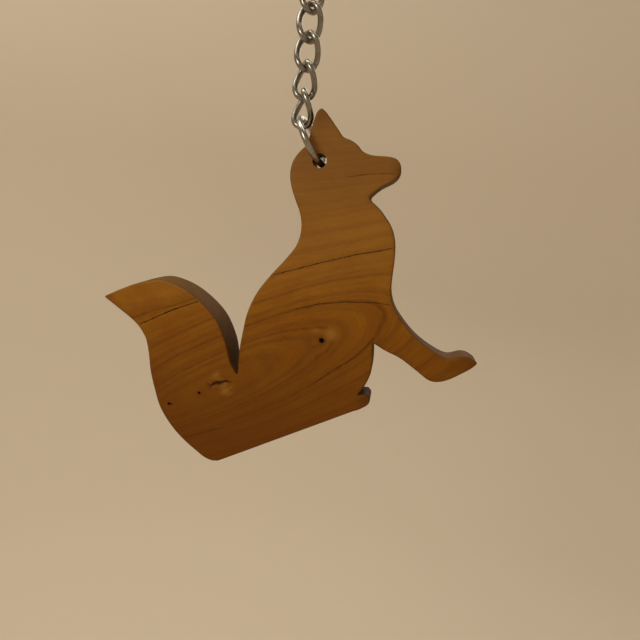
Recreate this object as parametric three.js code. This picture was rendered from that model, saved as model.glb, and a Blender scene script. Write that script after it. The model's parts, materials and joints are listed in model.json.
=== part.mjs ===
// Key chain with a sawn wooden fox tag.
// A double-coil split ring carries six twisted curb links, an open jump ring and the tag.
// Millimetres, +Z up, +Y towards the back of the tag. The origin is the inside of the split
// ring at its top, where a hook or a finger holds it, and the chain hangs straight down from it.
import * as THREE from 'three';
import { mergeVertices } from 'three/addons/utils/BufferGeometryUtils.js';

// ---------- driving dimensions (mm, degrees) ----------

const CLEARANCE = 0.25;           // air left where two wires bear on each other

const SPLIT_RING_OUTER = 25;      // outside diameter
const SPLIT_RING_RADIAL = 1.8;    // wire size from inside to outside
const SPLIT_RING_AXIAL = 1.05;    // wire size along the ring's axis
const SPLIT_RING_COIL_GAP = 0.12; // air between the two coils
const SPLIT_RING_JOG = 38;        // part of a turn in which the wire changes coil
const SPLIT_RING_TURN = 70;       // ring's plane turned about the chain
const SPLIT_RING_SEAT = 0.85;     // rise of the first link above the ring's inside bottom

const LINK_LENGTH = 8.7;          // outside
const LINK_WIDTH = 5.8;           // outside, before the twist
const LINK_WIRE = 1.3;
const LINK_TWIST = 90;            // from one end of a link to the other
const LINK_SQUARENESS = 2.5;      // 2 is an ellipse, more is fuller at the corners
const LINK_SEAM_AT = -35;         // where the wire's two ends meet, low on the right
const LINK_SEAM_GAP = 0.2;
const LINK_TURNS = [12, 11, 9, 0, -25, -45]; // each link about the chain, top to bottom

const JUMP_WIRE = 1.4;
const JUMP_INNER_LONG = 12.4;     // inside, through the thickness of the tag
const JUMP_INNER_SHORT = 9.3;     // inside, from the chain to the tag's hole
const JUMP_LEAN = 29.5;           // tag hole swung forward of the chain
const JUMP_TURN = 5;              // front of the ring turned towards the tail
const JUMP_SEAM_AT = 128;         // from the ring's foot, round its back
const JUMP_SEAM_GAP = 0.2;
const JUMP_FOOT_DROP = 0.6;       // ring's lowest wire centre past the middle of the hole

const TAG_THICKNESS = 7.8;
const TAG_HOLE = 3.0;
const TAG_OUTLINE_STEP = 1.3;     // longest straight on the outline's round stretches
const TAIL_FLARE = 1.15;          // the saw leaned here: the back edge stands proud of the front

// Outline of the tag as it hangs, [x, z] from the middle of its hole, seen from the front.
// Each stretch is smooth from its first point to its last, and its last point is a corner.
const TAG_OUTLINE = {
  ear_front: [[-0.5, 10.8], [0.1, 10.4], [2.0, 8.3], [3.9, 6.0], [4.6, 5.2]],
  brow_and_muzzle: [
    [4.6, 5.2], [6.1, 4.7], [7.6, 3.9], [9.0, 2.5], [10.7, 2.0], [12.6, 1.9], [14.6, 1.9],
    [16.1, 1.5], [16.9, 0.6], [17.2, -0.6], [16.7, -2.2], [15.6, -3.2], [13.2, -4.7], [11.3, -6.5],
  ],
  chin_notch: [[11.3, -6.5], [11.3, -7.2]],
  chest_and_front_leg: [
    [11.3, -7.2], [13.4, -8.8], [14.8, -10.4], [16.4, -12.6], [17.4, -15.5], [17.7, -19.3],
    [17.6, -22.9], [17.7, -26.5], [18.7, -29.5], [21.0, -32.6], [24.2, -35.7], [28.1, -38.1],
    [31.0, -39.2], [32.3, -39.0], [34.0, -38.4], [35.6, -38.5], [37.5, -39.6],
  ],
  sole_and_underarm: [
    [37.5, -39.6], [36.6, -40.6], [34.3, -42.3], [31.5, -44.0], [29.0, -44.7], [27.5, -44.4],
    [24.4, -42.4], [20.8, -40.2], [17.7, -39.0], [14.9, -37.6],
  ],
  hind_leg: [[14.9, -37.6], [15.2, -41.9], [15.0, -44.6], [13.9, -47.5], [12.6, -49.6]],
  toe_top: [[12.6, -49.6], [13.4, -49.3], [14.8, -49.2]],
  toe_and_heel: [
    [14.8, -49.2], [15.5, -50.1], [15.5, -50.9], [14.8, -51.7], [13.4, -52.7], [11.1, -53.8],
  ],
  seat: [[11.1, -53.8], [-16.3, -68.0]],
  rump_and_tail: [
    [-16.3, -68.0], [-18.9, -68.9], [-21.1, -68.3], [-23.1, -67.0], [-26.0, -64.9], [-29.0, -62.1],
    [-32.1, -57.8], [-33.7, -53.5], [-34.9, -49.2], [-35.5, -45.3], [-36.4, -41.9], [-38.2, -39.3],
    [-40.1, -37.7], [-42.8, -35.9], [-46.6, -33.4],
  ],
  tail_top_and_inside: [
    [-46.6, -33.4], [-43.0, -31.5], [-39.5, -29.9], [-36.0, -28.8], [-33.5, -28.4], [-31.0, -28.8],
    [-27.7, -30.0], [-24.1, -32.3], [-20.4, -35.9], [-17.9, -40.6], [-16.2, -45.7], [-14.6, -48.0],
  ],
  back_and_nape: [
    [-14.6, -48.0], [-14.5, -42.3], [-14.0, -37.9], [-13.3, -33.8], [-11.6, -29.4], [-9.2, -25.7],
    [-5.8, -21.4], [-3.6, -18.2], [-2.9, -15.8], [-2.8, -13.6], [-3.3, -11.2], [-4.6, -8.3],
    [-5.7, -5.5], [-6.1, -3.1], [-5.7, -0.5], [-4.5, 1.5], [-3.3, 2.8],
  ],
  ear_back: [[-3.3, 2.8], [-2.5, 5.1], [-2.0, 7.8], [-1.5, 9.5], [-1.1, 10.5], [-0.5, 10.8]],
};

// ---------- derived sizes and places ----------

const radians = THREE.MathUtils.degToRad;

const splitRingRadius = (SPLIT_RING_OUTER - SPLIT_RING_RADIAL) / 2;
const splitRingInner = SPLIT_RING_OUTER / 2 - SPLIT_RING_RADIAL;
const splitRingCentreZ = -splitRingInner;

const linkHalfLength = (LINK_LENGTH - LINK_WIRE) / 2;
const linkHalfWidth = (LINK_WIDTH - LINK_WIRE) / 2;
const linkPitch = 2 * linkHalfLength - LINK_WIRE - CLEARANCE;
const firstLinkZ = -2 * splitRingInner + SPLIT_RING_SEAT + LINK_WIRE / 2 - linkHalfLength;
const lastLinkZ = firstLinkZ - (LINK_TURNS.length - 1) * linkPitch;

const jumpHalfLong = (JUMP_INNER_LONG + JUMP_WIRE) / 2;
const jumpHalfShort = (JUMP_INNER_SHORT + JUMP_WIRE) / 2;
const jumpTopZ = lastLinkZ - linkHalfLength + (LINK_WIRE + JUMP_WIRE) / 2 + CLEARANCE;
const leanDown = new THREE.Vector3(Math.sin(radians(JUMP_LEAN)), 0, -Math.cos(radians(JUMP_LEAN)));
const jumpCentre = new THREE.Vector3(0, 0, jumpTopZ).addScaledVector(leanDown, jumpHalfShort);
const tagHole = jumpCentre.clone().addScaledVector(leanDown, jumpHalfShort - JUMP_FOOT_DROP);

// ---------- shapes ----------

// An open curve given by a formula of u from 0 to 1.
class FormulaCurve extends THREE.Curve {
  constructor(pointAt) {
    super();
    this.pointAt = pointAt;
  }

  getPoint(u, target = new THREE.Vector3()) {
    return target.copy(this.pointAt(u));
  }
}

function sweep(section, curve, steps) {
  return new THREE.ExtrudeGeometry(section, { steps, extrudePath: curve, bevelEnabled: false });
}

function roundSection(diameter, sides) {
  const corners = [];
  for (let i = 0; i < sides; i++) {
    const angle = ((i + 0.5) / sides) * 2 * Math.PI;
    corners.push(new THREE.Vector2(Math.cos(angle), Math.sin(angle)).multiplyScalar(diameter / 2));
  }
  return new THREE.Shape(corners);
}

function power(value, exponent) {
  return Math.sign(value) * Math.abs(value) ** exponent;
}

// Two flat coils of one wire. The wire changes coil over a short jog, and its two ends stop
// on either side of that jog. The ring lies in XZ, its middle at the origin, the jog at its side.
function splitRingGeometry() {
  const jog = radians(SPLIT_RING_JOG);
  const halfSweep = 2 * Math.PI - jog / 2 - radians(3);
  const lift = (SPLIT_RING_AXIAL + SPLIT_RING_COIL_GAP) / 2;
  const pointAt = (u) => {
    const angle = (2 * u - 1) * halfSweep;
    const across = THREE.MathUtils.smoothstep(angle, -jog / 2, jog / 2);
    const side = lift * (2 * across - 1);
    return new THREE.Vector3(
      splitRingRadius * Math.cos(angle), side, splitRingRadius * Math.sin(angle));
  };
  const positions = [];
  const steps = 96;
  const rings = [];
  for (let i = 0; i <= steps; i++) {
    rings.push(splitRingSection(pointAt(i / steps)));
  }
  const sides = rings[0].length;
  for (let i = 0; i < steps; i++) {
    for (let k = 0; k < sides; k++) {
      const next = (k + 1) % sides;
      pushQuad(positions, rings[i][k], rings[i][next], rings[i + 1][next], rings[i + 1][k]);
    }
  }
  pushFan(positions, rings[0].slice().reverse());
  pushFan(positions, rings[steps]);
  return triangleGeometry(positions);
}

// Section of the split ring's wire round one point of its centre line: a flat with cut corners.
function splitRingSection(centre) {
  const outward = new THREE.Vector3(centre.x, 0, centre.z).normalize();
  const along = new THREE.Vector3(0, 1, 0);
  const r = SPLIT_RING_RADIAL / 2;
  const a = SPLIT_RING_AXIAL / 2;
  const cut = 0.3;
  const corners = [
    [r, a - cut], [r - cut, a], [cut - r, a], [-r, a - cut],
    [-r, cut - a], [cut - r, -a], [r - cut, -a], [r, cut - a],
  ];
  return corners.map(([radial, axial]) => centre.clone()
    .addScaledVector(outward, radial)
    .addScaledVector(along, axial));
}

function pushTriangle(positions, a, b, c) {
  positions.push(a.x, a.y, a.z, b.x, b.y, b.z, c.x, c.y, c.z);
}

function pushQuad(positions, a, b, c, d) {
  pushTriangle(positions, a, b, c);
  pushTriangle(positions, a, c, d);
}

function pushFan(positions, loop) {
  for (let i = 1; i + 1 < loop.length; i++) {
    pushTriangle(positions, loop[0], loop[i], loop[i + 1]);
  }
}

function triangleGeometry(positions) {
  const geometry = new THREE.BufferGeometry();
  geometry.setAttribute('position', new THREE.Float32BufferAttribute(positions, 3));
  const merged = mergeVertices(geometry, 1e-4);
  merged.computeVertexNormals();
  return merged;
}

// One curb link: an oval of round wire, twisted a quarter turn from end to end, with an open
// butt seam. Its middle is at the origin and its length along Z.
function linkGeometry() {
  const seam = radians(LINK_SEAM_AT);
  const seamHalfAngle = LINK_SEAM_GAP / 2 / linkHalfLength;
  const pointAt = (u) => {
    const angle = seam + seamHalfAngle + u * 2 * (Math.PI - seamHalfAngle);
    const across = linkHalfWidth * power(Math.cos(angle), 2 / LINK_SQUARENESS);
    const up = linkHalfLength * power(Math.sin(angle), 2 / LINK_SQUARENESS);
    const twist = -radians(LINK_TWIST / 2) * (up / linkHalfLength);
    return new THREE.Vector3(across * Math.cos(twist), across * Math.sin(twist), up);
  };
  return sweep(roundSection(LINK_WIRE, 8), new FormulaCurve(pointAt), 36);
}

// The jump ring about its own middle. Its short way lies along the lean, its long way along Y,
// and it is turned a little about the lean.
function jumpRingGeometry() {
  const turn = radians(JUMP_TURN);
  const sideways = new THREE.Vector3(0, 1, 0).cross(leanDown);
  const through = new THREE.Vector3(0, 1, 0).multiplyScalar(Math.cos(turn))
    .addScaledVector(sideways, -Math.sin(turn));
  const seam = radians(JUMP_SEAM_AT);
  const seamHalfAngle = JUMP_SEAM_GAP / 2 / jumpHalfLong;
  const pointAt = (u) => {
    const angle = seam + seamHalfAngle + u * 2 * (Math.PI - seamHalfAngle);
    return new THREE.Vector3()
      .addScaledVector(leanDown, jumpHalfShort * Math.cos(angle))
      .addScaledVector(through, jumpHalfLong * Math.sin(angle));
  };
  return sweep(roundSection(JUMP_WIRE, 8), new FormulaCurve(pointAt), 48);
}

// Points along one stretch of the outline, without its last point, which starts the next one.
function stretchPoints(stretch) {
  if (stretch.length === 2) {
    return [new THREE.Vector2(...stretch[0])];
  }
  const knots = stretch.map(([x, z]) => new THREE.Vector3(x, z, 0));
  const curve = new THREE.CatmullRomCurve3(knots, false, 'centripetal');
  const steps = Math.max(4, Math.ceil(curve.getLength() / TAG_OUTLINE_STEP));
  return curve.getSpacedPoints(steps).slice(0, -1).map((p) => new THREE.Vector2(p.x, p.y));
}

// The front outline, and the back one, which stands proud along the inside of the tail.
function tagOutlines() {
  const front = [];
  const back = [];
  for (const [name, stretch] of Object.entries(TAG_OUTLINE)) {
    const points = stretchPoints(stretch);
    points.forEach((point, i) => {
      front.push(point);
      const share = name === 'tail_top_and_inside' ? i / points.length : 0;
      const next = points[Math.min(i + 1, points.length - 1)];
      const before = points[Math.max(i - 1, 0)];
      const alongEdge = next.clone().sub(before).normalize();
      const outward = new THREE.Vector2(-alongEdge.y, alongEdge.x);
      const flare = TAIL_FLARE * share * (1 - share ** 8);
      back.push(flare > 0 ? point.clone().addScaledVector(outward, flare) : point.clone());
    });
  }
  // The stretches run clockwise; a solid's faces need them the other way round.
  return [front.reverse(), back.reverse()];
}

function holePoints(sides) {
  const points = [];
  for (let i = 0; i < sides; i++) {
    const angle = -((i + 0.5) / sides) * 2 * Math.PI;
    const radius = TAG_HOLE / 2 / Math.cos(Math.PI / sides);
    points.push(new THREE.Vector2(Math.cos(angle), Math.sin(angle)).multiplyScalar(radius));
  }
  return points;
}

// The tag: a slab between its front and back outlines, with the hole through it.
function tagGeometry() {
  const [front, back] = tagOutlines();
  const hole = holePoints(24);
  const half = TAG_THICKNESS / 2;
  const positions = [];
  const at = (point, y) => new THREE.Vector3(point.x, y, point.y);
  const wall = (nearLoop, farLoop) => nearLoop.forEach((near, i) => {
    const j = (i + 1) % nearLoop.length;
    pushTriangle(positions, at(near, -half), at(farLoop[i], half), at(nearLoop[j], -half));
    pushTriangle(positions, at(nearLoop[j], -half), at(farLoop[i], half), at(farLoop[j], half));
  });
  const face = (loop, y) => {
    const all = [...loop, ...hole];
    for (const [i, j, k] of THREE.ShapeUtils.triangulateShape(loop.slice(), [hole.slice()])) {
      const corners = [all[i], all[j], all[k]];
      const turnsLeft = THREE.ShapeUtils.area(corners) > 0;
      if (turnsLeft !== y < 0) {
        corners.reverse();
      }
      pushTriangle(positions, ...corners.map((corner) => at(corner, y)));
    }
  };
  wall(front, back);
  wall(hole, hole);
  face(front, -half);
  face(back, half);
  return triangleGeometry(positions);
}

// ---------- materials ----------

const nickel = new THREE.MeshStandardMaterial({ color: 0x8f8a80, roughness: 0.28, metalness: 1 });
const oiledWood = new THREE.MeshStandardMaterial({ color: 0x7a4a18, roughness: 0.5, metalness: 0 });

// ---------- assembly ----------

const group = new THREE.Group();

function addPiece(name, geometry, material, place, turn = 0) {
  const mesh = new THREE.Mesh(geometry, material);
  mesh.name = name;
  mesh.position.copy(place);
  mesh.rotation.z = radians(turn);
  group.add(mesh);
}

addPiece(
  'split_ring', splitRingGeometry(), nickel,
  new THREE.Vector3(0, 0, splitRingCentreZ), SPLIT_RING_TURN);

LINK_TURNS.forEach((turn, i) => {
  const middle = new THREE.Vector3(0, 0, firstLinkZ - i * linkPitch);
  addPiece(`chain_link_${i + 1}`, linkGeometry(), nickel, middle, turn);
});

addPiece('tag_ring', jumpRingGeometry(), nickel, jumpCentre);
addPiece('wooden_fox', tagGeometry(), oiledWood, tagHole);

export default group;
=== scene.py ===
"""Looks of the wooden fox keychain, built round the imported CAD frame.

Places in the scene are in metres, in the frame's own axes. Sizes given as named values are in mm
and degrees, as in the CAD, unless the name or the comment says otherwise.
"""

import json
import math

import bpy
import numpy as np
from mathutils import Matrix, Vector, geometry, noise


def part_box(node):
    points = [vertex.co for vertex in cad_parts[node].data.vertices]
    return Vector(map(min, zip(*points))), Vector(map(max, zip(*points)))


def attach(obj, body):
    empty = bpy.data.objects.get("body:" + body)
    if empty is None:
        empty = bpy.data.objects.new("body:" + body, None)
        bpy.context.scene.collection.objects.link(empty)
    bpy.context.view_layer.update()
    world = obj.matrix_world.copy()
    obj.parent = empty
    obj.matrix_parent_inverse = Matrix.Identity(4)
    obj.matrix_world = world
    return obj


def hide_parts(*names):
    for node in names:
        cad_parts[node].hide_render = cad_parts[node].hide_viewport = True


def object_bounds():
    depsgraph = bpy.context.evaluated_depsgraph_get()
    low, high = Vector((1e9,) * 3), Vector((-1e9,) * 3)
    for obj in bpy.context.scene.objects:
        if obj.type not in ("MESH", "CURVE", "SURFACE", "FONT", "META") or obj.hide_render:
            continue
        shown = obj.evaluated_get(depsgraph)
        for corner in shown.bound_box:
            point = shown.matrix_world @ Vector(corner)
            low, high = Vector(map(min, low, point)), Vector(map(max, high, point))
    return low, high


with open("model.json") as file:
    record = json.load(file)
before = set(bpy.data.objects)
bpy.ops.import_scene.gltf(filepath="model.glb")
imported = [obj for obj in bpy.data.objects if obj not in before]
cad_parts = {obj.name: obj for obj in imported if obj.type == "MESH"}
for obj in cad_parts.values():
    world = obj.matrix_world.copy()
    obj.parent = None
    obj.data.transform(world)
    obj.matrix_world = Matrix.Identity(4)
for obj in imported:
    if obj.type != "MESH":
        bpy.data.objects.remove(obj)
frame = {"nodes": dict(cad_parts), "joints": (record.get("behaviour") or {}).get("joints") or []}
cad_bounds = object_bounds()
scene = bpy.context.scene
MM = 0.001

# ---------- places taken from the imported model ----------

joint_at = {j["name"]: Vector(j["pos_m"]) for j in frame["joints"]}
HOLE = joint_at["fox_swing"]
fox_low, fox_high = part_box("wooden_fox")
FRONT_Y, BACK_Y = fox_low.y, fox_high.y
object_low, object_high = Vector(cad_bounds[0]), Vector(cad_bounds[1])

# ---------- driving sizes, as in the CAD ----------

SPLIT_RING_OUTER = 25
SPLIT_RING_RADIAL = 1.8
SPLIT_RING_AXIAL = 1.05
SPLIT_RING_COIL_GAP = 0.12
SPLIT_RING_JOG = 38
SPLIT_RING_END_SHORT = 3      # each end of the wire stops this far short of the jog
SPLIT_RING_TURN = 70
SPLIT_RING_SQUARENESS = 5

LINK_LENGTH = 8.7
LINK_WIDTH = 5.8
LINK_WIRE = 1.3
LINK_TWIST = 90
LINK_SQUARENESS = 2.5
LINK_SEAM_AT = -35
LINK_SEAM_GAP = 0.2
LINK_TURNS = [12, 11, 9, 0, -25, -45]

JUMP_WIRE = 1.4
JUMP_INNER_LONG = 12.4
JUMP_INNER_SHORT = 9.3
JUMP_LEAN = 29.5
JUMP_TURN = 5
JUMP_SEAM_AT = 128
JUMP_SEAM_GAP = 0.2

TAG_HOLE = 3.0
EDGE_ROUND = 0.42             # sanded edge of the tag
HOLE_ROUND = 0.06             # rim of the drilled hole

# Camera: its place from the middle of the hole's front rim, and its turn about X, Y and Z.
CAMERA_FROM_HOLE = Vector((18.58, -137.0, -12.47)) * MM
CAMERA_TURN = (81.218, -4.840, 7.243)
CAMERA_FIELD = 53.06


# ---------- shader helpers ----------

class Graph:
    """Builds one material's node tree. A value may be a number or another node's output."""

    def __init__(self, name):
        self.material = bpy.data.materials.new(name)
        self.material.use_nodes = True
        self.tree = self.material.node_tree
        self.tree.nodes.clear()
        self.shader = self.node("ShaderNodeBsdfPrincipled")
        self.output = self.node("ShaderNodeOutputMaterial")
        self.link(self.shader.outputs[0], self.output.inputs["Surface"])

    def node(self, kind, **settings):
        made = self.tree.nodes.new(kind)
        for key, value in settings.items():
            setattr(made, key, value)
        return made

    def link(self, source, target):
        self.tree.links.new(source, target)

    def feed(self, target, value):
        if isinstance(value, bpy.types.NodeSocket):
            self.link(value, target)
        else:
            target.default_value = value

    def math(self, operation, a, b=0.0, clamp=False):
        made = self.node("ShaderNodeMath", operation=operation, use_clamp=clamp)
        for socket, value in zip(made.inputs, (a, b)):
            self.feed(socket, value)
        return made.outputs[0]

    def plus(self, first, *others):
        for other in others:
            first = self.math("ADD", first, other)
        return first

    def minus(self, a, b):
        return self.math("SUBTRACT", a, b)

    def times(self, first, *others):
        for other in others:
            first = self.math("MULTIPLY", first, other)
        return first

    def squares(self, a, b):
        """The sum of two squares."""
        return self.plus(self.times(a, a), self.times(b, b))

    def root(self, value):
        return self.math("SQRT", value)

    def clamped(self, value):
        return self.math("MULTIPLY", value, 1.0, clamp=True)

    def object_mm(self):
        """The point's place in the piece, in mm."""
        coordinates = self.node("ShaderNodeTexCoord")
        scaled = self.node("ShaderNodeVectorMath", operation="SCALE")
        self.link(coordinates.outputs["Object"], scaled.inputs[0])
        scaled.inputs["Scale"].default_value = 1 / MM
        return scaled.outputs[0]

    def split(self, vector):
        made = self.node("ShaderNodeSeparateXYZ")
        self.link(vector, made.inputs[0])
        return made.outputs

    def join(self, x, y, z):
        made = self.node("ShaderNodeCombineXYZ")
        for socket, value in zip(made.inputs, (x, y, z)):
            self.feed(socket, value)
        return made.outputs[0]

    def noise(self, vector, scale, detail, roughness, distortion=0.0):
        made = self.node("ShaderNodeTexNoise")
        self.feed(made.inputs["Vector"], vector)
        self.feed(made.inputs["Scale"], scale)
        self.feed(made.inputs["Detail"], detail)
        self.feed(made.inputs["Roughness"], roughness)
        self.feed(made.inputs["Distortion"], distortion)
        return made.outputs[0]

    def drawn_noise(self, axes, cycles, detail, roughness):
        """Noise drawn out along three axes, each with its own cycles per mm."""
        place = self.join(*(self.times(axis, rate) for axis, rate in zip(axes, cycles)))
        return self.noise(place, 1.0, detail, roughness)

    def noise_1d(self, value, scale, detail, roughness=0.5):
        made = self.node("ShaderNodeTexNoise", noise_dimensions="1D")
        self.feed(made.inputs["W"], value)
        self.feed(made.inputs["Scale"], scale)
        self.feed(made.inputs["Detail"], detail)
        self.feed(made.inputs["Roughness"], roughness)
        return made.outputs[0]

    def remap(self, value, low, high, to_low=0.0, to_high=1.0):
        made = self.node("ShaderNodeMapRange", interpolation_type="SMOOTHSTEP")
        for socket, number in zip(made.inputs, (value, low, high, to_low, to_high)):
            self.feed(socket, number)
        return made.outputs[0]

    def mix(self, factor, a, b):
        made = self.node("ShaderNodeMix", data_type="RGBA")
        self.feed(made.inputs["Factor"], factor)
        self.feed(made.inputs[6], a)
        self.feed(made.inputs[7], b)
        return made.outputs[2]

    def paint(self, colour, *layers):
        """The colour with each (amount, tint) laid over it in turn."""
        for amount, tint in layers:
            colour = self.mix(amount, colour, rgb(*tint))
        return colour

    def attribute(self, name):
        return self.node("ShaderNodeAttribute", attribute_name=name).outputs["Fac"]

    def bump(self, height, distance, strength):
        made = self.node("ShaderNodeBump")
        self.feed(made.inputs["Height"], height)
        made.inputs["Distance"].default_value = distance
        made.inputs["Strength"].default_value = strength
        self.link(made.outputs[0], self.shader.inputs["Normal"])

    def set(self, **values):
        for key, value in values.items():
            self.feed(self.shader.inputs[key.replace("_", " ")], value)


def rgb(red, green, blue):
    """A colour given in sRGB steps of 255, as the linear colour a shader takes."""
    def linear(step):
        share = step / 255
        return share / 12.92 if share <= 0.04045 else ((share + 0.055) / 1.055) ** 2.4
    return (linear(red), linear(green), linear(blue), 1.0)


# ---------- the wood ----------

WOOD_LIGHT = (163, 108, 14)
WOOD_PALE = (176, 124, 30)
WOOD_DEEP = (148, 90, 8)
WOOD_LATE = (106, 57, 2)
WOOD_LINE = (70, 33, 5)
# The sides' colour is partly oiled sawn wood and partly painted shade; it also paints the shade
# along the rim.
OILED_SIDE_AND_SHADE = (76, 53, 9)
WOOD_END = (84, 42, 10)
# Painted light: the breast's pale tone and the head's dull sheen stand in for how the lamp falls.
PAINTED_LIGHT_BREAST = (168, 126, 62)
PAINTED_SHEEN_HEAD = (124, 84, 40)
WOOD_FLARE = (182, 134, 56)
KNOT_EYE = (40, 19, 8)

# Growth rings: cones about a branch's pith that runs along the grain behind the tag. In mm, and
# measured from the middle of the hole.
GRAIN_ANGLE = 30.1                # the grain rises towards the nose
GRAIN_CENTRE = (8.0, -35.4)       # where the grain's own two axes cross
PITH_BEHIND = 10.94               # depth of the pith behind the front face
RING_TAPER = 0.1606               # how fast the rings widen along the grain
RING_CURVE = 0.00235              # the same, growing with the distance
RING_FLARE = 0.00124              # the same, growing away from the pith
GRAIN_SPREAD = -0.01004           # how the rings spread towards the tail
GRAIN_FLATTEN = 0.000554          # how they lie flatter towards the head
RINGS_PER_MM = 0.85
GRAIN_COS = math.cos(math.radians(GRAIN_ANGLE))
GRAIN_SIN = math.sin(math.radians(GRAIN_ANGLE))
# Dark ring lines, as (ring radius, half-width, strength, reach of the darker wood outside it).
DARK_RINGS = [(8.85, 0.22, 0.30, 0.8), (9.75, 0.22, 0.30, 0.9), (10.45, 0.20, 0.50, 0.9),
              (12.70, 0.20, 0.62, 1.5), (13.60, 0.16, 0.30, 0.7), (15.50, 0.25, 0.32, 0.8),
              (16.3, 0.20, 0.22, 0.5), (18.98, 0.15, 0.60, 1.0), (21.4, 0.3, 0.20, 1.2),
              (24.6, 0.3, 0.18, 1.0), (28.2, 0.3, 0.22, 1.4), (31.6, 0.25, 0.20, 1.2),
              (34.6, 0.20, 0.35, 1.6), (36.55, 0.13, 0.55, 0.9), (40.3, 0.2, 0.35, 0.9),
              (43.5, 0.16, 0.45, 0.6), (45.2, 0.14, 0.45, 0.5), (46.8, 0.14, 0.45, 0.5)]

# Noise in the wood, as its cycles per mm along the grain, through the tag and across the grain
# or the rings, its detail and its roughness.
WANDER = ((0.06, 0.08, 0.14), 3.0, 0.5)       # rings that run out of true
WOBBLE = ((0.45, 0.5, 1.3), 3.0, 0.6)
FIBRE = ((0.35, 2.6, 4.2), 5.0, 0.65)
PORES = ((1.5, 9.0, 12.0), 2.0, 0.5)
MOTTLE = ((0.10, 0.12, 0.25), 3.0, 0.55)
LINE_GAPS = ((0.55, 0.0, 0.8), 4.0, 0.65)     # where a dark line fades
SCRATCHES = ((4.6, 0.4, 0.45), 3.0, 0.6)      # left by sanding, up and down the tag
WANDER_BY = 0.7                               # mm
WOBBLE_BY = 0.22                              # mm

# Places on the front face in mm from the hole: knots, pale flares and the rings they push aside.
KNOTS = [(3.7, -38.2, 0.62, 1.0), (-30.0, -56.6, 0.36, 0.9), (-23.1, -53.2, 0.34, 0.9),
         (-18.7, -50.3, 0.5, 0.7)]
FLARES = [(5.8, -36.4, 2.4, 0.45), (-17.0, -51.8, 2.2, 0.40), (-19.4, -48.9, 1.8, 0.30),
          (2.0, -36.0, 1.6, 0.2)]
KNOT_PUSHES = [(3.7, -38.2, 2.2, -0.5), (-18.6, -50.2, 2.0, -0.4), (-23.1, -53.2, 1.0, -0.25),
               (-30.0, -56.6, 0.9, -0.25)]
# Where the cut end grain is stained dark: middle of the patch from the hole, reach and strength.
END_STAINS = [((37.0, -39.7), 3.4, 0.9), ((17.0, -0.8), 1.8, 0.8), ((-0.4, 9.6), 2.6, 0.7),
              ((15.0, -50.4), 2.2, 0.8), ((16.2, -37.2), 1.4, 0.5), ((-46.0, -33.4), 1.6, 0.5),
              ((11.6, -6.8), 0.9, 0.6)]


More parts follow.
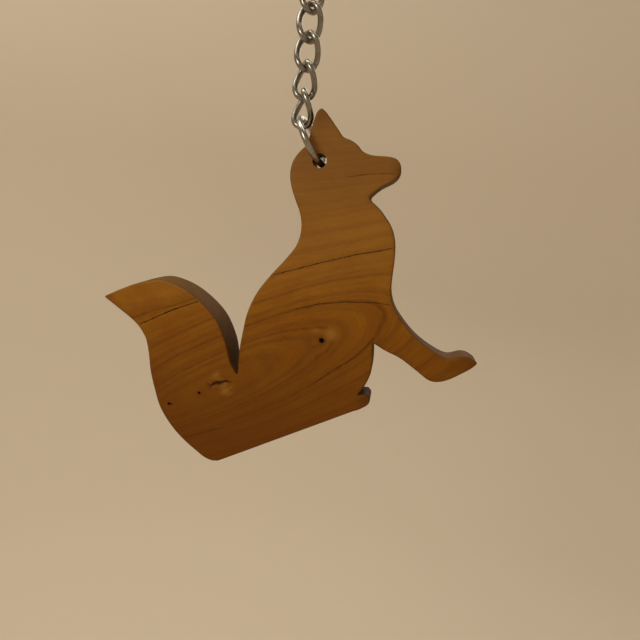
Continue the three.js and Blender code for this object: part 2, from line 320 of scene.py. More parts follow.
class Wood(Graph):
    """The oiled wood, worked out from the point's place in the tag."""

    def __init__(self):
        super().__init__("oiled_wood_grain")
        self.place = self.split(self.object_mm())
        self.x = self.minus(self.place["X"], HOLE.x / MM + GRAIN_CENTRE[0])
        self.z = self.minus(self.place["Z"], HOLE.z / MM + GRAIN_CENTRE[1])
        self.y = self.minus(self.place["Y"], FRONT_Y / MM)
        self.along = self.plus(self.times(self.x, GRAIN_COS), self.times(self.z, GRAIN_SIN))
        self.across = self.minus(self.times(self.z, GRAIN_COS), self.times(self.x, GRAIN_SIN))
        self.ring = self.ring_radius()
        along_rings = (self.along, self.y, self.ring)
        self.fibre = self.drawn_noise(along_rings, *FIBRE)
        self.pore = self.remap(self.drawn_noise(along_rings, *PORES), 0.60, 0.74)
        self.mottle = self.drawn_noise(along_rings, *MOTTLE)
        self.gaps = self.drawn_noise(along_rings, *LINE_GAPS)
        self.speck = self.noise(self.object_mm(), 5.5, 4.0, 0.75)
        self.scratch = self.drawn_noise((self.place["X"], self.y, self.place["Z"]), *SCRATCHES)

    def squared_from(self, at_x, at_z):
        """The squared distance from a place on the face."""
        return self.squares(self.minus(self.x, at_x - GRAIN_CENTRE[0]),
                            self.minus(self.z, at_z - GRAIN_CENTRE[1]))

    def ring_radius(self):
        """The radius of the growth ring at the point, with the rings bent round the knots."""
        above = self.math("MAXIMUM", self.across, 0.0)
        spread = self.times(self.along, self.across, GRAIN_SPREAD)
        flatten = self.times(self.along, self.times(above, above), GRAIN_FLATTEN)
        bent = self.plus(self.across, self.plus(spread, flatten))
        ring = self.root(self.squares(bent, self.minus(self.y, PITH_BEHIND)))
        taper = self.plus(RING_TAPER, self.times(self.along, RING_CURVE),
                          self.times(self.math("ABSOLUTE", self.across), RING_FLARE))
        ring = self.plus(ring, self.times(self.along, taper))
        axes = (self.along, self.y, self.across)
        for kind, amount in ((WANDER, WANDER_BY), (WOBBLE, WOBBLE_BY)):
            away = self.minus(self.drawn_noise(axes, *kind), 0.5)
            ring = self.plus(ring, self.times(away, amount))
        for knot_x, knot_z, reach, push in KNOT_PUSHES:
            far = self.squared_from(knot_x, knot_z)
            bulge = self.math("EXPONENT", self.times(far, -1 / reach ** 2))
            ring = self.plus(ring, self.times(bulge, push))
        return ring

    def fine_rings(self):
        """Late wood in fine rings of uneven width and darkness."""
        uneven = self.noise_1d(self.ring, 0.45, 2.0, 0.6)
        phase = self.plus(self.times(self.ring, RINGS_PER_MM), self.times(uneven, 2.4))
        saw = self.math("FRACT", phase)
        late = self.times(self.remap(saw, 0.25, 0.90), self.remap(saw, 0.90, 1.0, 1.0, 0.0))
        shade = self.noise_1d(self.math("FLOOR", phase), 3.7, 0.0)
        return self.times(late, self.remap(shade, 0.3, 0.7, 0.1, 1.0))

    def dark_lines(self):
        """Dark lines, broken along their length, and the darker wood on their outer side."""
        lines, shadows = 0.0, 0.0
        for at, half, strength, reach in DARK_RINGS:
            off = self.minus(self.ring, at)
            line = self.remap(self.math("ABSOLUTE", off), half * 0.2, half, strength, 0.0)
            outside = self.times(self.remap(off, -half * 1.5, 0.0),
                                 self.remap(off, 0.0, reach, strength, 0.0))
            lines = self.plus(lines, line)
            shadows = self.plus(shadows, outside)
        lines = self.times(lines, self.remap(self.gaps, 0.34, 0.60, 0.25, 1.0))
        shadows = self.times(shadows, self.remap(self.mottle, 0.3, 0.6, 0.6, 1.0))
        return self.clamped(lines), self.clamped(shadows)

    def figured(self, lines, shadows):
        """The colour of the planed figure, before knots and sides."""
        bands = self.noise_1d(self.ring, 0.62, 2.0, 0.55)
        hair = self.noise_1d(self.ring, 5.5, 3.0, 0.7)
        base = self.mix(self.remap(self.mottle, 0.25, 0.75), rgb(*WOOD_DEEP), rgb(*WOOD_LIGHT))
        return self.paint(
            base,
            (self.remap(bands, 0.42, 0.66, 0.0, 0.30), WOOD_LATE),
            (self.times(self.fine_rings(), 0.15), WOOD_LATE),
            (self.remap(hair, 0.5, 0.72, 0.0, 0.12), WOOD_LATE),
            (self.times(shadows, 0.45), WOOD_LATE),
            (self.remap(self.fibre, 0.40, 0.72, 0.0, 0.20), WOOD_LATE),
            (self.remap(self.fibre, 0.50, 0.25, 0.0, 0.16), WOOD_PALE),
            (self.times(self.pore, 0.22), WOOD_LINE),
            (self.remap(self.speck, 0.50, 0.78, 0.0, 0.26), WOOD_LATE),
            (self.remap(self.speck, 0.50, 0.25, 0.0, 0.24), WOOD_PALE),
            (self.remap(self.scratch, 0.55, 0.72, 0.0, 0.10), WOOD_PALE),
            (self.times(lines, 0.66), WOOD_LINE))

    def painted_light_falloff(self, colour):
        """Painted light and shade down the tag: painted light palest at the breast, painted shade
        darker towards the rump and a painted sheen that dulls the head.
        """
        down = self.plus(self.times(self.z, -1.0), self.times(self.x, 0.12))
        return self.paint(
            colour,
            # Painted shade darker towards the rump, painted light at the breast and a painted
            # sheen at the head.
            (self.remap(down, -16.0, 30.0, 0.0, 0.85), WOOD_LATE),
            (self.remap(down, -2.0, -22.0, 0.0, 0.28), PAINTED_LIGHT_BREAST),
            (self.remap(down, -22.0, -36.0, 0.0, 0.50), PAINTED_SHEEN_HEAD))

    def knotted(self, colour):
        """Knots with a dark eye and a brown ring, and pale flares beside them."""
        for knot_x, knot_z, size, dark in KNOTS:
            far = self.plus(self.root(self.squared_from(knot_x, knot_z)),
                            self.times(self.minus(self.speck, 0.5), size * 0.9))
            colour = self.paint(
                colour,
                (self.remap(far, size * 1.0, size * 2.6, 0.5 * dark, 0.0), WOOD_LATE),
                (self.remap(far, size * 0.75, size * 1.15, dark, 0.0), KNOT_EYE))
        for flare_x, flare_z, size, strength in FLARES:
            far = self.plus(self.root(self.squared_from(flare_x, flare_z)),
                            self.times(self.minus(self.fibre, 0.5), size * 1.6))
            colour = self.paint(colour, (self.remap(far, 0.0, size, strength, 0.0), WOOD_FLARE))
        return colour

    def sides(self):
        """How far the surface is a sawn side, and how far it is end grain."""
        normal = self.split(self.node("ShaderNodeTexCoord").outputs["Normal"])
        side = self.remap(self.math("ABSOLUTE", normal["Y"]), 0.35, 0.92, 1.0, 0.0)
        end = self.math("ABSOLUTE", self.plus(self.times(normal["X"], GRAIN_COS),
                                              self.times(normal["Z"], GRAIN_SIN)))
        return side, self.times(side, self.remap(end, 0.55, 0.98))

    def finish(self):
        """Puts the parts together. Sawn sides drink more oil, most of all on the end grain; the
        sides' dark colour is also partly painted shade.
        """
        lines, shadows = self.dark_lines()
        side, end = self.sides()
        pit = self.attribute("pit")
        colour = self.paint(
            self.knotted(self.painted_light_falloff(self.figured(lines, shadows))),
            # Partly painted shade: the sides are darkened towards the dark side colour.
            (self.times(side, 0.78), OILED_SIDE_AND_SHADE),
            (self.times(end, 0.35), WOOD_END),
            # Painted shade: a dark band along each face's rim.
            (self.times(self.attribute("rim"), 0.30), OILED_SIDE_AND_SHADE),
            (self.times(pit, 0.90), KNOT_EYE),
            (self.times(self.attribute("stain"), 0.55), WOOD_END))
        saw_marks = self.noise_1d(self.attribute("along"), 2.1, 4.0, 0.75)
        height = self.plus(
            self.times(self.fibre, 0.30), self.times(self.pore, -0.5), self.times(lines, -0.35),
            self.times(self.speck, 0.25), self.times(self.scratch, 0.20),
            self.times(saw_marks, side, 1.6))
        self.bump(height, 0.05 * MM, 0.75)
        rough = self.plus(
            self.remap(self.fibre, 0.3, 0.7, 0.48, 0.60), self.times(side, 0.12),
            self.times(self.pore, 0.12), self.times(pit, 0.3))
        self.set(Base_Color=colour, Roughness=self.clamped(rough))
        self.shader.inputs["IOR"].default_value = 1.46
        self.shader.inputs["Specular IOR Level"].default_value = 0.18
        return self.material


# ---------- the tag's mesh ----------

# Pits and open checks in the faces: points from the hole in mm, half-width and depth.
PITS = [((3.7, -38.2), 0.52, 1.1), ((-30.0, -56.6), 0.30, 0.7), ((-23.1, -53.2), 0.28, 0.7)]
CHECKS = [
    ([(-38.4, -39.1), (-35.9, -37.9), (-33.1, -36.3), (-29.7, -34.6), (-26.3, -33.1),
      (-24.3, -32.3)], 0.15, 0.30),
    ([(-9.0, -25.2), (-1.2, -22.5), (2.1, -21.3), (10.1, -18.7), (13.4, -18.0), (17.1, -16.8)],
     0.11, 0.20),
    ([(-2.7, -31.8), (2.5, -30.2), (8.5, -29.2), (14.5, -28.8), (17.5, -28.9)], 0.10, 0.16),
    ([(14.8, -36.6), (13.3, -38.8), (11.3, -41.2), (7.2, -44.2), (3.1, -47.6)], 0.09, 0.14),
    ([(-26.0, -64.3), (-20.0, -61.8), (-17.3, -60.7)], 0.08, 0.10),
    ([(6.1, -2.9), (11.0, -1.9), (16.0, -1.5)], 0.08, 0.10),
    ([(-20.2, -51.0), (-19.2, -50.4), (-18.2, -50.2), (-16.9, -49.7)], 0.50, 0.5),
]
BACK_PITS = [((4.4, -37.6), 0.4, 0.7)]
BACK_CHECKS = [
    ([(-33.0, -47.0), (-27.0, -44.6), (-21.0, -42.6)], 0.10, 0.2),
    ([(-7.6, -26.0), (0.0, -23.2), (8.0, -20.6), (14.0, -19.0)], 0.09, 0.16),
]

OUTLINE_STEP = 0.3            # mm between points of the outline
CORNER_TURN = 38              # degrees: a sharper turn stays a corner
HOLE_SIDES = 64
ROUNDING_TURNS = (18, 36, 54, 72, 90)
FIELD_PITCH = 1.0             # mm between the points inside a face
ROW_PITCH = 0.866             # of that, between its rows
MARK_STEP = 1.3               # of a mark's half-width, between points along it
MARK_ROWS = (-2.2, -1.1, -0.55, 0, 0.55, 1.1, 2.2)      # the same, across it
MARK_CLEAR = 2.8              # the same, kept clear of the field's own points
OUTER_ROWS, HOLE_ROWS = 8, 5  # rows of faces through the thickness
FACE_SINK = 0.035             # mm that sanding takes off a face, and that this varies by
SINK_REACH = 2.0              # mm from the edge until it takes its full depth
# Painted shade: the rim of each face is darkened over this reach.
RIM_SHADE_REACH = 0.6               # mm of darker rim
CHUNK = 2000                  # points worked on at a time


def cad_loops(node):
    """The tag's front and back boundary loops, in mm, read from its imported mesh: the outline and
    the hole of each face."""
    mesh = frame["nodes"][node].data
    keys, corner = {}, []
    for vertex in mesh.vertices:
        key = tuple(round(c / MM, 3) for c in vertex.co)
        corner.append(keys.setdefault(key, len(keys)))
    places = np.array(list(keys), float)
    loops = []
    for face_y in (FRONT_Y / MM, BACK_Y / MM):
        on_face = np.abs(places[:, 1] - face_y) < 0.01
        directed = set()
        for polygon in mesh.polygons:
            ids = [corner[v] for v in polygon.vertices]
            if all(on_face[i] for i in ids):
                directed |= {(a, b) for a, b in zip(ids, ids[1:] + ids[:1])}
        rim = {a: b for a, b in directed if (b, a) not in directed}
        found = []
        while rim:
            start = here = next(iter(rim))
            loop = []
            while here in rim:
                loop.append(here)
                here = rim.pop(here)
            found.append(places[loop][:, [0, 2]])
        found.sort(key=len, reverse=True)
        loops.append(found)
    return loops


def signed_area(loop):
    x, z = loop[:, 0], loop[:, 1]
    return 0.5 * float(np.sum(x * np.roll(z, -1) - z * np.roll(x, -1)))


def catmull(before, start, end, after, share):
    """A point on the Catmull-Rom curve between start and end."""
    a = 2 * start
    b = end - before
    c = 2 * before - 5 * start + 4 * end - after
    d = -before + 3 * start - 3 * end + after
    return 0.5 * (a + b * share + c * share ** 2 + d * share ** 3)


def fine_loop(loop, counts=None):
    """The loop with every straight cut into steps on a smooth curve that still turns sharply at
    its corners."""
    n = len(loop)
    ahead = np.roll(loop, -1, 0) - loop
    behind = np.roll(ahead, 1, 0)
    turn = np.degrees(np.abs(np.angle(
        (ahead[:, 0] + 1j * ahead[:, 1]) / (behind[:, 0] + 1j * behind[:, 1]))))
    sharp = turn > CORNER_TURN
    if counts is None:
        counts = np.maximum(2, np.ceil(np.linalg.norm(ahead, axis=1) / OUTLINE_STEP)).astype(int)
    points = []
    for i in range(n):
        start, end = loop[i], loop[(i + 1) % n]
        before = 2 * start - end if sharp[i] else loop[i - 1]
        after = 2 * end - start if sharp[(i + 1) % n] else loop[(i + 2) % n]
        for k in range(counts[i]):
            points.append(catmull(before, start, end, after, k / counts[i]))
    points = np.array(points)
    for _ in range(2):
        points = 0.25 * np.roll(points, 1, 0) + 0.5 * points + 0.25 * np.roll(points, -1, 0)
    return points, counts


def from_polyline(points, line, closed=True):
    """The distance from each point to a polyline."""
    start = line if closed else line[:-1]
    end = np.roll(line, -1, 0) if closed else line[1:]
    best = np.full(len(points), np.inf)
    edge = end - start
    size = np.maximum((edge ** 2).sum(1), 1e-12)
    for first in range(0, len(points), CHUNK):
        some = points[first:first + CHUNK]
        offset = some[:, None, :] - start[None]
        share = np.clip((offset * edge[None]).sum(2) / size[None], 0, 1)
        gap = offset - share[..., None] * edge[None]
        best[first:first + CHUNK] = np.sqrt((gap ** 2).sum(2).min(1))
    return best


def inside(points, loop):
    """Whether each point lies within a closed loop."""
    held = np.zeros(len(points), bool)
    start, end = loop, np.roll(loop, -1, 0)
    for first in range(0, len(points), CHUNK):
        some = points[first:first + CHUNK]
        crosses = (start[None, :, 1] > some[:, None, 1]) != (end[None, :, 1] > some[:, None, 1])
        rise = np.where(end[:, 1] == start[:, 1], 1e-12, end[:, 1] - start[:, 1])
        at = start[None, :, 0] + (some[:, None, 1] - start[None, :, 1]) * (
            (end[:, 0] - start[:, 0]) / rise)[None]
        held[first:first + CHUNK] = (crosses & (some[:, None, 0] < at)).sum(1) % 2 == 1
    return held


def inward(loop):
    """Unit normals that point into a loop that runs anticlockwise."""
    along = np.roll(loop, -1, 0) - np.roll(loop, 1, 0)
    along /= np.maximum(np.linalg.norm(along, axis=1), 1e-9)[:, None]
    return np.stack([-along[:, 1], along[:, 0]], 1)


def rounding(gap, radius):
    """How far a face falls back at a distance from its rounded edge."""
    short = np.clip(radius - gap, 0, radius)
    return radius - np.sqrt(np.maximum(radius ** 2 - short ** 2, 0))


def near_line(line, half, points):
    """How deep in a V-shaped check each point lies, from 0 at its rim to 1. The check wanders in
    width and narrows over the last eighth at each end."""
    line = np.array(line, float)
    wander = np.array([noise.noise(Vector((x * 0.8, z * 0.8, 3.0)))
                       + 0.6 * noise.noise(Vector((x * 2.1, z * 2.1, 8.0))) for x, z in points])
    length = np.linalg.norm(line[-1] - line[0])
    share = ((points - line[0]) @ (line[-1] - line[0])) / length ** 2
    taper = np.clip(np.minimum(share, 1 - share) * 8, 0, 1)
    gap = from_polyline(points, line, closed=False)
    width = half * np.clip(0.62 + 1.5 * wander, 0.05, 1.3) * (0.25 + 0.75 * taper)
    return np.clip(1 - gap / np.maximum(width, 1e-3), 0, 1) * (taper > 0)


def rounding_rings(loop, radius, sign):
    """Rings beside a rounded edge, left out where they would fold over each other."""
    rings = []
    for turn in ROUNDING_TURNS:
        step = radius * (1 - math.cos(math.radians(turn)))
        ring = loop + sign * inward(loop) * step
        rings.append(ring[from_polyline(ring, loop) > step * 0.985])
    return rings


def points_along(line, half):
    """Rows of points along a mark, close enough to carry its shape."""
    close = []
    for start, end in zip(line[:-1], line[1:]):
        run = np.linalg.norm(end - start)
        along = (end - start) / run
        aside = np.array([-along[1], along[0]])
        for step in np.arange(0, run, half * MARK_STEP):
            close += [start + along * step + aside * row * half for row in MARK_ROWS]
    return np.array(close)


def cap_points(outline, hole, marks):
    """Points over one face: its edges, rings inside them for the rounding, and a field of points,
    closer round the marks."""
    rings = rounding_rings(outline, EDGE_ROUND, 1) + rounding_rings(hole, HOLE_ROUND, -1)
    low, high = outline.min(0), outline.max(0)
    rows = np.arange(low[1], high[1], FIELD_PITCH * ROW_PITCH)
    field = np.array([
        (low[0] + FIELD_PITCH * (column + 0.5 * (row % 2)), z)
        for row, z in enumerate(rows)
        for column in range(int((high[0] - low[0]) / FIELD_PITCH) + 1)])
    for line, half in marks:
        line = np.array(line, float)
        field = field[from_polyline(field, line, closed=False) > half * MARK_CLEAR]
        field = np.concatenate([field, points_along(line, half)])
    field = field[inside(field, outline) & ~inside(field, hole)]
    field = field[(from_polyline(field, outline) > EDGE_ROUND * 1.25)
                  & (from_polyline(field, hole) > HOLE_ROUND * 1.5)]
    return np.concatenate(rings + [field])


def triangles_over(outline, hole, extra):
    """A triangulation of one face: its points and its triangles, anticlockwise."""
    points = np.concatenate([outline, hole, extra])
    edges = []
    first = 0
    for loop in (outline, hole):
        edges += [(first + i, first + (i + 1) % len(loop)) for i in range(len(loop))]
        first += len(loop)
    made = geometry.delaunay_2d_cdt([Vector(p) for p in points], edges, [], 0, 1e-5)
    places = np.array([tuple(v) for v in made[0]])
    source = [ids[0] if ids else -1 for ids in made[3]]
    faces = np.array([f for f in made[2] if len(f) == 3])
    middle = places[faces].mean(1)
    faces = faces[inside(middle, outline) & ~inside(middle, hole)]
    return places, source, faces


def new_mesh(name, vertices, faces, material):
    mesh = bpy.data.meshes.new(name)
    mesh.from_pydata([tuple(v) for v in vertices], [], faces)
    mesh.materials.append(material)
    mesh.polygons.foreach_set("use_smooth", [True] * len(mesh.polygons))
    mesh.update()
    piece = bpy.data.objects.new(name, mesh)
    scene.collection.objects.link(piece)
    return piece


def end_stain(places):
    amount = np.zeros(len(places))
    for at, reach, strength in END_STAINS:
        away = np.linalg.norm(places - np.array(at), axis=1)
        amount = np.maximum(amount, strength * np.exp(-(away / reach) ** 2))
    return amount


class TagMesh:
    """The tag's vertices and faces in mm, with what its material reads at each vertex: nearness
    to the rim for the painted shade there, depth in a pit, stain, and the distance along the
    outline."""

    def __init__(self, centre, hole):
        self.centre, self.hole = centre, hole
        self.vertices, self.faces = [], []
        self.rim, self.pit, self.stain, self.along = [], [], [], []

    def from_hole(self, points):
        return [tuple(np.array(p) + self.centre) for p in points]

    def sunk(self, places, gap, hole_gap, toward, checks, pits):
        """How far a face's points lie below its plane, and how deep in a pit or check."""
        fall = rounding(gap, EDGE_ROUND) + rounding(hole_gap, HOLE_ROUND)
        free = np.clip((np.minimum(gap, hole_gap) - EDGE_ROUND) / SINK_REACH, 0, 1)
        wave = np.array([noise.noise(Vector((px * 0.11, toward * 7.0, pz * 0.16)))
                         for px, pz in places])
        fall += (FACE_SINK + FACE_SINK * wave) * free
        holes = np.zeros(len(places))
        for line, half, depth in checks:
            deep = near_line(self.from_hole(line), half, places)
            fall += deep * depth
            holes = np.maximum(holes, np.clip(deep * 1.1, 0, 0.62))
        for at, size, depth in pits:
            away = np.linalg.norm(places - (np.array(at) + self.centre), axis=1)
            deep = np.clip(1 - (away / size) ** 2, 0, 1)
            fall += np.sqrt(deep) * depth
            holes = np.maximum(holes, np.clip(deep * 2, 0, 1))
        return fall, holes

    def add_cap(self, outline, toward, checks, pits):
        """One face. Returns the vertex numbers of its outline and its hole."""
        marks = [(self.from_hole(line), half) for line, half, _ in checks]
        marks += [(self.from_hole([(at[0] - size, at[1]), (at[0] + size, at[1])]), size * 0.5)
                  for at, size, _ in pits]
        places, source, triangles = triangles_over(
            outline, self.hole, cap_points(outline, self.hole, marks))
        gap = from_polyline(places, outline)
        hole_gap = from_polyline(places, self.hole)
        fall, holes = self.sunk(places, gap, hole_gap, toward, checks, pits)
        face_y = (FRONT_Y if toward < 0 else BACK_Y) / MM
        first = len(self.vertices)
        self.vertices.extend(
            (px, face_y - toward * down, pz) for (px, pz), down in zip(places, fall))
        # Nearness to the rim, which the material darkens as painted shade.
        self.rim.extend(np.clip(1 - gap / RIM_SHADE_REACH, 0, 1) ** 1.2)
        self.pit.extend(holes)
        self.stain.extend(end_stain(places - self.centre))
        self.along.extend([0.0] * len(places))
        for a, b, c in triangles:
            order = (a, b, c) if toward < 0 else (a, c, b)
            self.faces.append([first + i for i in order])
        number = {s: first + i for i, s in enumerate(source) if s >= 0}
        count = len(outline)
        return ([number[i] for i in range(count)],
                [number[count + i] for i in range(len(self.hole))])

    def add_wall(self, near, far, loops, radius, rows, run):
        """The wall from the front rim to the back one, facing out where the run along it is
        given and into the hole where it isn't."""
        outwards = run is not None
        if not outwards:
            run = np.arange(len(near)) * 0.15
        y_near = FRONT_Y / MM + radius
        y_far = BACK_Y / MM - radius
        grid = [list(near)]
        for row in range(1, rows):
            share = row / rows
            first = len(self.vertices)
            level = loops[0] * (1 - share) + loops[1] * share
            self.vertices.extend((px, y_near + (y_far - y_near) * share, pz) for px, pz in level)
            self.rim.extend([0.0] * len(level))
            self.pit.extend([0.0] * len(level))
            self.along.extend(run[:len(level)])
            self.stain.extend(end_stain(level - self.centre))
            grid.append(list(range(first, first + len(level))))
        grid.append(list(far))
        for above, below in zip(grid[:-1], grid[1:]):
            count = len(above)
            for i in range(count):
                j = (i + 1) % count
                quad = [above[i], below[i], below[j], above[j]]
                self.faces.append(quad if outwards else quad[::-1])
        if outwards:
            for a, b, distance in zip(near, far, run):
                self.along[a] = self.along[b] = distance

    def piece(self, name, material):
        made = new_mesh(name, np.array(self.vertices) * MM, self.faces, material)
        values = {"rim": self.rim, "pit": self.pit, "stain": self.stain, "along": self.along}
        for label, numbers in values.items():
            attribute = made.data.attributes.new(label, "FLOAT", "POINT")
            attribute.data.foreach_set("value", np.array(numbers, np.float32))
        made.data.set_sharp_from_angle(angle=math.radians(50))
        return made


def build_tag(material):
    (front, _), (back, _) = [
        [loop if signed_area(loop) > 0 else loop[::-1] for loop in face]
        for face in cad_loops("wooden_fox")]
    # The front loop starts at the end of the sawn seat, and the back loop across from it.
    seat = np.argmax(np.linalg.norm(np.roll(front, -1, 0) - front, axis=1))
    front = np.roll(front, -seat, 0)
    back = np.roll(back, -np.argmin(np.linalg.norm(back - front[0], axis=1)), 0)
    front_fine, counts = fine_loop(front)
    back_fine, _ = fine_loop(back, counts)
    centre = np.array([HOLE.x, HOLE.z]) / MM
    around = np.linspace(0, 2 * np.pi, HOLE_SIDES, endpoint=False)
    hole = centre + (TAG_HOLE / 2) * np.stack([np.cos(around), np.sin(around)], 1)
    run = np.concatenate([[0], np.cumsum(np.linalg.norm(np.diff(front_fine, axis=0), axis=1))])

    mesh = TagMesh(centre, hole)
    front_rim, front_hole_rim = mesh.add_cap(front_fine, -1, CHECKS, PITS)
    back_rim, back_hole_rim = mesh.add_cap(back_fine, 1, BACK_CHECKS, BACK_PITS)
    mesh.add_wall(front_rim, back_rim, (front_fine, back_fine), EDGE_ROUND, OUTER_ROWS, run)
    mesh.add_wall(front_hole_rim, back_hole_rim, (hole, hole), HOLE_ROUND, HOLE_ROWS, None)
    return mesh.piece("fox_tag", material)


# ---------- the wire pieces ----------

RUST_SPOT = (74, 60, 46)
SEAM_DIRT = (58, 48, 40)
PATH_STEPS = 1440                             # points worked out along a link or the ring
LINK_STATIONS, LINK_SIDES = 150, 22
JUMP_STATIONS, JUMP_SIDES = 210, 26
SPLIT_RING_STATIONS, SPLIT_RING_SIDES = 420, 28
CUT_ENDS = ((0.93, 0.045), (0.80, 0.07))      # size of the section, and mm past the wire's end


def nickel_material(name, bright, dull, wear_scale, rough):
    g = Graph(name)
    place = g.object_mm()
    cloud = g.noise(place, 0.45, 4.0, 0.6)
    spots = g.noise(place, 3.6, 5.0, 0.7)
    scratch = g.noise(place, wear_scale, 3.0, 0.8, 1.5)
    tarnish = g.times(g.remap(cloud, 0.42, 0.68), g.remap(spots, 0.35, 0.65))
    colour = g.mix(g.times(tarnish, 0.75), rgb(*bright), rgb(*dull))
    colour = g.paint(
        colour,
        (g.remap(spots, 0.66, 0.78, 0.0, 0.55), RUST_SPOT),
        (g.times(g.attribute("seam"), 0.7), SEAM_DIRT))
    roughness = g.plus(g.remap(scratch, 0.3, 0.7, rough, rough + 0.10), g.times(tarnish, 0.14))
    g.bump(g.plus(g.times(scratch, 0.4), g.times(spots, 0.5)), 0.012 * MM, 0.6)
    g.set(Base_Color=colour, Roughness=roughness)
    g.shader.inputs["Metallic"].default_value = 1.0
    return g.material


def evenly(points, count):
    """The curve's points spaced evenly along it."""
    run = np.concatenate([[0], np.cumsum(np.linalg.norm(np.diff(points, axis=0), axis=1))])
    at = np.linspace(0, run[-1], count)
    return np.stack([np.interp(at, run, points[:, k]) for k in range(3)], 1)


def tangents(points):
    along = np.gradient(points, axis=0)
    return along / np.linalg.norm(along, axis=1)[:, None]


def sweep(name, points, section_at, material, node):
    """A wire along points with the section that section_at gives, and softly dressed cut ends."""
    tangent = tangents(points)
    rings = [section_at(i, point, 1.0) for i, point in enumerate(points)]
    ends = []
    for index, sign in ((0, -1), (len(points) - 1, 1)):
        ends.append([section_at(index, points[index] + sign * push * tangent[index], scale)
                     for scale, push in CUT_ENDS])
    rings = ends[0][::-1] + rings + ends[1]
    sides = len(rings[0])
    vertices = np.concatenate(rings)
    faces = []
    for i in range(len(rings) - 1):
        for k in range(sides):
            a, b = i * sides + k, i * sides + (k + 1) % sides
            faces.append([a, b, b + sides, a + sides])
    faces.append(list(range(sides))[::-1])
    faces.append([(len(rings) - 1) * sides + k for k in range(sides)])
    piece = new_mesh(name, vertices * MM, faces, material)
    seam = np.zeros(len(vertices), np.float32)
    seam[:2 * sides] = 1
    seam[-2 * sides:] = 1
    piece.data.attributes.new("seam", "FLOAT", "POINT").data.foreach_set("value", seam)
    piece.data.set_sharp_from_angle(angle=math.radians(46))
    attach(piece, node)
    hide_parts(node)


def round_wire(diameter, points, sides):
    """A section function for round wire, with frames carried along the points without twist."""
    tangent = tangents(points)
    aside = np.cross(tangent[0], [0.31, 0.17, 0.93])
    aside /= np.linalg.norm(aside)
    frames = []
    for direction in tangent:
        aside = aside - (aside @ direction) * direction
        aside /= np.linalg.norm(aside)
        frames.append((aside.copy(), np.cross(direction, aside)))
    turns = np.linspace(0, 2 * np.pi, sides, endpoint=False)

    def section_at(i, centre, scale):
        u, v = frames[i]
        r = diameter / 2 * scale
        return centre + r * (np.cos(turns)[:, None] * u + np.sin(turns)[:, None] * v)
    return section_at


def power(value, exponent):
    return np.sign(value) * np.abs(value) ** exponent


def open_turn(seam_at, gap):
    """Angles once round from one side of a seam to the other."""
    return math.radians(seam_at) + np.linspace(gap, 2 * math.pi - gap, PATH_STEPS)


def build_link(number, turn, material):
    node = f"chain_link_{number}"
    low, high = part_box(node)
    centre_z = (low.z + high.z) / 2 / MM
    half_length = (LINK_LENGTH - LINK_WIRE) / 2
    half_width = (LINK_WIDTH - LINK_WIRE) / 2
    angle = open_turn(LINK_SEAM_AT, LINK_SEAM_GAP / 2 / half_length)
    across = half_width * power(np.cos(angle), 2 / LINK_SQUARENESS)
    up = half_length * power(np.sin(angle), 2 / LINK_SQUARENESS)
    twist = math.radians(turn) - math.radians(LINK_TWIST / 2) * up / half_length
    path = np.stack([across * np.cos(twist), across * np.sin(twist), centre_z + up], 1)
    points = evenly(path, LINK_STATIONS)
    section_at = round_wire(LINK_WIRE, points, LINK_SIDES)
    sweep(f"chain_link_wire_{number}", points, section_at, material, node)


def build_tag_ring(material):
    """The oval ring, which leans from its top on the last link down to the hole."""
    lean, turn = math.radians(JUMP_LEAN), math.radians(JUMP_TURN)
    down = np.array([math.sin(lean), 0, -math.cos(lean)])
    sideways = np.cross([0, 1, 0], down)
    through = np.array([0, math.cos(turn), 0]) - math.sin(turn) * sideways
    half_short = (JUMP_INNER_SHORT + JUMP_WIRE) / 2
    half_long = (JUMP_INNER_LONG + JUMP_WIRE) / 2
    centre = np.array(joint_at["ring_swing"]) / MM + half_short * down
    angle = open_turn(JUMP_SEAM_AT, JUMP_SEAM_GAP / 2 / half_long)
    path = centre + half_short * np.cos(angle)[:, None] * down \
        + half_long * np.sin(angle)[:, None] * through
    points = evenly(path, JUMP_STATIONS)
    sweep("tag_ring_wire", points, round_wire(JUMP_WIRE, points, JUMP_SIDES), material, "tag_ring")


def build_split_ring(material):
    """Two flat coils of one wire, which changes coil at the jog."""
    inner = SPLIT_RING_OUTER / 2 - SPLIT_RING_RADIAL
    radius = (SPLIT_RING_OUTER - SPLIT_RING_RADIAL) / 2
    bottom = joint_at["link_1_swing"].z / MM
    centre = np.array([0, 0, bottom + inner + SPLIT_RING_RADIAL / 2])
    jog = math.radians(SPLIT_RING_JOG)
    half_sweep = 2 * math.pi - jog / 2 - math.radians(SPLIT_RING_END_SHORT)
    angle = np.linspace(-half_sweep, half_sweep, SPLIT_RING_STATIONS)
    share = np.clip(angle / jog + 0.5, 0, 1)
    lift = (SPLIT_RING_AXIAL + SPLIT_RING_COIL_GAP) / 2
    side = lift * (2 * (share ** 2 * (3 - 2 * share)) - 1)
    turn = math.radians(SPLIT_RING_TURN)
    plane = np.array([math.cos(turn), math.sin(turn), 0])
    axle = np.array([-math.sin(turn), math.cos(turn), 0])
    outward = np.cos(angle)[:, None] * plane + np.sin(angle)[:, None] * np.array([0, 0, 1.0])
    points = centre + radius * outward + side[:, None] * axle
    corner = np.linspace(0, 2 * np.pi, SPLIT_RING_SIDES, endpoint=False) + 0.05
    across = power(np.cos(corner), 2 / SPLIT_RING_SQUARENESS) * SPLIT_RING_RADIAL / 2
    along = power(np.sin(corner), 2 / SPLIT_RING_SQUARENESS) * SPLIT_RING_AXIAL / 2

    def section_at(i, place, scale):
        return place + scale * (across[:, None] * outward[i] + along[:, None] * axle)
    sweep("split_ring_wire", points, section_at, material, "split_ring")


# ---------- stage and light, in metres ----------

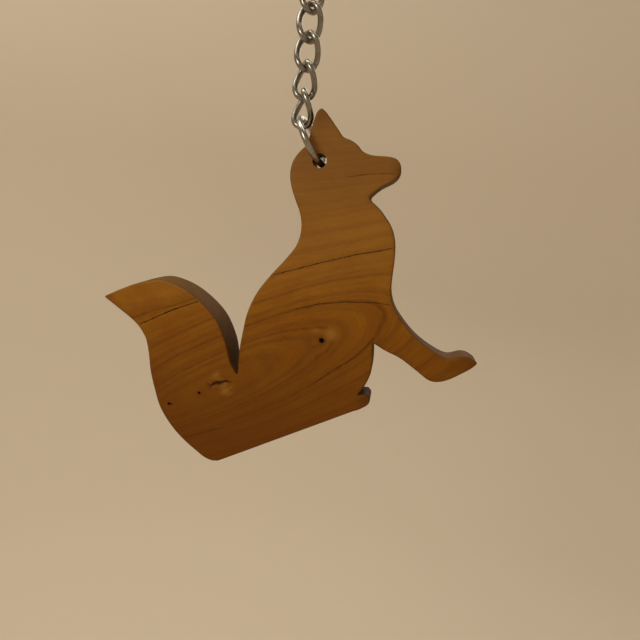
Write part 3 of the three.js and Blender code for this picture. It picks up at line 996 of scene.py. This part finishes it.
FLOOR_DROP = 0.17        # floor below the object
FLOOR_RADIUS = 0.34      # flat floor round the object
COVE_RADIUS = 0.30       # where the floor curves up into the wall
COVE_STEPS = 18
WALL_HEIGHT = 0.9
STAGE_SIDES = 72
PALE = (214, 202, 184)
WARM = (1.0, 0.92, 0.80)
ROOM_COLOUR = (0.30, 0.27, 0.22, 1)
ROOM_STRENGTH = 0.25
# Lamps: place and aim from the object's middle, the side of the square and watts.
LAMPS = {
    "key": ((-0.13, -0.25, 0.09), (0, 0, 0), 0.10, 0.285),
    "fill": ((0.30, -0.36, 0.02), (0, 0, 0), 0.4, 0.05),
    "back_fill": ((0.12, 0.42, 0.22), (0, 0, 0), 0.3, 0.36),
    "back_wash": ((-0.25, 0.05, 0.50), (-0.05, 0.60, 0.0), 0.4, 2.4),
    "front_wash": ((0.10, -0.05, 0.55), (0.05, -0.60, 0.0), 0.4, 1.15),
}


def build_stage():
    """A plain pale floor that rises into a round wall."""
    g = Graph("plain_pale")
    g.shader.inputs["Base Color"].default_value = rgb(*PALE)
    g.shader.inputs["Roughness"].default_value = 0.9
    floor_z = object_low.z - FLOOR_DROP
    profile = [(0.00001, floor_z), (FLOOR_RADIUS / 2, floor_z), (FLOOR_RADIUS, floor_z)]
    for step in range(1, COVE_STEPS + 1):
        angle = math.radians(90 * step / COVE_STEPS)
        profile.append((FLOOR_RADIUS + COVE_RADIUS * math.sin(angle),
                        floor_z + COVE_RADIUS * (1 - math.cos(angle))))
    profile.append((FLOOR_RADIUS + COVE_RADIUS, floor_z + WALL_HEIGHT))
    vertices = []
    for side in range(STAGE_SIDES):
        turn = 2 * math.pi * side / STAGE_SIDES
        vertices += [(r * math.cos(turn), r * math.sin(turn), z) for r, z in profile]
    count = len(profile)
    faces = []
    for side in range(STAGE_SIDES):
        here, there = side * count, (side + 1) % STAGE_SIDES * count
        faces += [[here + i, here + i + 1, there + i + 1, there + i] for i in range(count - 1)]
    new_mesh("stage", vertices, faces, g.material)


def add_lamp(name, place, aim, side, watts):
    light = bpy.data.lights.new(name, "AREA")
    light.shape = "SQUARE"
    light.size = side
    light.energy = watts
    light.color = WARM
    lamp = bpy.data.objects.new(name, light)
    lamp.location = place
    lamp.rotation_euler = (aim - place).to_track_quat("-Z", "Y").to_euler()
    lamp.visible_camera = False
    scene.collection.objects.link(lamp)


def add_room_light():
    world = bpy.data.worlds.new("room")
    world.use_nodes = True
    background = world.node_tree.nodes["Background"]
    background.inputs["Color"].default_value = ROOM_COLOUR
    background.inputs["Strength"].default_value = ROOM_STRENGTH
    scene.world = world


def add_camera():
    camera_data = bpy.data.cameras.new("camera")
    camera_data.sensor_fit = "HORIZONTAL"
    camera_data.angle = math.radians(CAMERA_FIELD)
    camera_data.clip_start = 0.005
    camera_data.clip_end = 20
    camera = bpy.data.objects.new("camera", camera_data)
    camera.location = Vector((HOLE.x, FRONT_Y, HOLE.z)) + CAMERA_FROM_HOLE
    camera.rotation_euler = [math.radians(a) for a in CAMERA_TURN]
    scene.collection.objects.link(camera)
    scene.camera = camera


# ---------- assembly ----------

chain_nickel = nickel_material("chain_nickel", bright=(160, 157, 148), dull=(104, 99, 88),
                               wear_scale=9.0, rough=0.22)
ring_nickel = nickel_material("ring_nickel", bright=(172, 169, 161), dull=(122, 116, 104),
                              wear_scale=7.0, rough=0.19)

tag = build_tag(Wood().finish())
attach(tag, "wooden_fox")
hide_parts("wooden_fox")

for number, turn in enumerate(LINK_TURNS, 1):
    build_link(number, turn, chain_nickel)
build_tag_ring(ring_nickel)
build_split_ring(ring_nickel)

build_stage()
middle = (object_low + object_high) / 2
for name, (place, aim, side, watts) in LAMPS.items():
    add_lamp(name, middle + Vector(place), middle + Vector(aim), side, watts)
add_room_light()
add_camera()
scene.view_settings.view_transform = "Standard"
